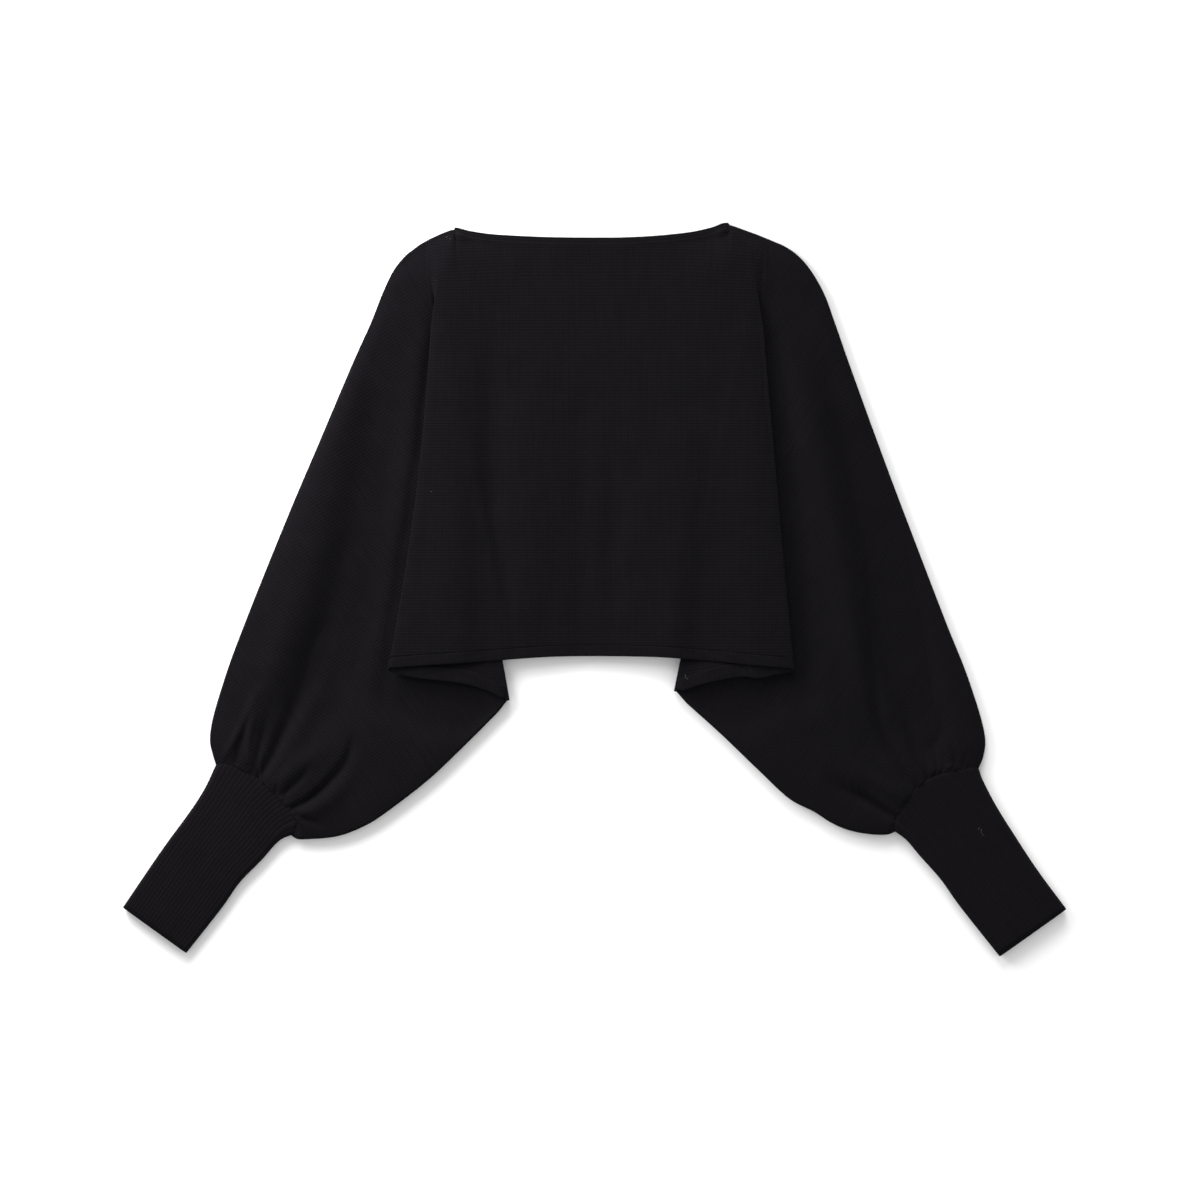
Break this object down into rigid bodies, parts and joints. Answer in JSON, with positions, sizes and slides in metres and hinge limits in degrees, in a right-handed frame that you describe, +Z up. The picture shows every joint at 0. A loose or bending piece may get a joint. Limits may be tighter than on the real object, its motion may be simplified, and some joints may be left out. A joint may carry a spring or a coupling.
{
  "type": "knitted shrug",
  "caption": "Black batwing knit top, laid flat with its sleeves swung down beside the body: boat neck, straight hem, long ribbed cuffs.",
  "frame": {"origin": "on the floor, under the middle of the bounding box of the garment as it lies", "axes": "+X to the viewer's right, towards the wearer's left sleeve; +Y up the garment to the neck; +Z up off the floor, out of the front panel"},
  "size_m": [0.9441, 0.7345, 0.0213],
  "materials": {
    "jersey": "matt fine-gauge jersey knit",
    "neck_trim": "matt knit edge with a stitched line",
    "hem_turning": "matt turned and stitched knit hem",
    "rib_knit": "matt narrow rib knit"
  },
  "bodies": {
    "root": {"back_panel": "jersey", "front_panel": "jersey", "back_neckband": "neck_trim", "front_neckband": "neck_trim", "back_hem_band": "hem_turning", "front_hem_band": "hem_turning", "left_cuff": "rib_knit", "right_cuff": "rib_knit"}
  },
  "joints": []
}
